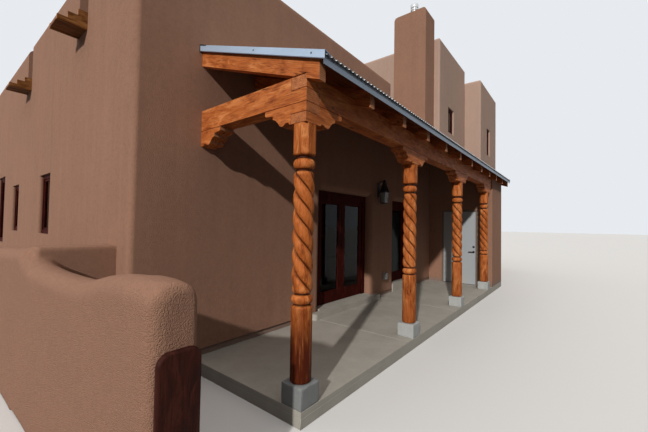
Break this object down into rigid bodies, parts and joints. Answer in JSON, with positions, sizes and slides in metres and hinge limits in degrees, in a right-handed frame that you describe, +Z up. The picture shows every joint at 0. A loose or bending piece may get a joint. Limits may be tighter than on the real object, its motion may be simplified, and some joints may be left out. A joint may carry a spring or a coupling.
{
  "type": "adobe house",
  "caption": "Flat-roofed adobe house with rounded parapets, higher rear blocks, a chimney and a long timber portal with spiral posts under a sloping metal roof.",
  "frame": {"origin": "on the ground, under the middle of the whole model's box", "axes": "+X out from the long east wall with the portal, +Y along that wall from the patio end to the rear blocks, +Z up"},
  "size_m": [11.8, 16.1008, 9.3333],
  "materials": {
    "stucco": "rough stucco",
    "concrete": "broom finished concrete",
    "deck": "mineral surfaced roofing",
    "timber": "stained and weathered",
    "dark_wood": "stained dark",
    "galvanized": "galvanized sheet",
    "white_paint": "painted",
    "glass": "clear",
    "iron": "dark bronze"
  },
  "bodies": {
    "house": {"portal_slab": "concrete", "house_floor": "concrete", "decks": "deck", "east_wall_near": "stucco", "east_wall_pier": "stucco", "east_wall_far": "stucco", "door_lintel_walls": "stucco", "south_wall": "stucco", "west_wall": "stucco", "north_wall": "stucco", "rear_east_wall": "stucco", "rear_south_wall": "stucco", "rear_west_wall": "stucco", "far_walls": "stucco", "chimney": "stucco", "chimney_flue": "galvanized", "roof_spouts": "timber", "store_walls": "stucco", "base_blocks": "concrete", "portal_posts": "timber", "corbels": "timber", "portal_beams": "timber", "rafters": "timber", "roof_boards": "timber", "metal_roof": "galvanized", "roof_flashing": "galvanized", "door_sills": "concrete", "french_door_frame": "dark_wood", "glass_door_frame": "dark_wood", "store_door_frame": "white_paint", "door_hinges": "iron", "window_frames": "dark_wood", "window_glass": "glass", "wall_lantern": "iron", "patio_wall": "stucco", "gate_jamb": "dark_wood"},
    "french_left": {"french_left_leaf": "dark_wood", "french_left_glass": "glass"},
    "french_right": {"french_right_leaf": "dark_wood", "french_right_glass": "glass"},
    "glass_door": {"glass_door_leaf": "dark_wood", "glass_door_pane": "glass"},
    "store_door": {"store_door_leaf": "white_paint", "store_door_handle": "iron"}
  },
  "joints": [
    {"name": "french_left_hinge", "type": "hinge", "parent": "house", "child": "french_left", "pos_m": [3.576, -3.9006, 1.15], "axis": [0, 0, 1], "range_deg": [0, 90]},
    {"name": "french_right_hinge", "type": "hinge", "parent": "house", "child": "french_right", "pos_m": [3.576, -2.3486, 1.15], "axis": [0, 0, -1], "range_deg": [0, 90]},
    {"name": "glass_door_hinge", "type": "hinge", "parent": "house", "child": "glass_door", "pos_m": [3.576, -0.2186, 1.15], "axis": [0, 0, -1], "range_deg": [0, 90]},
    {"name": "store_door_hinge", "type": "hinge", "parent": "house", "child": "store_door", "pos_m": [4.225, 1.4044, 1.15], "axis": [0, 0, 1], "range_deg": [0, 90]}
  ]
}
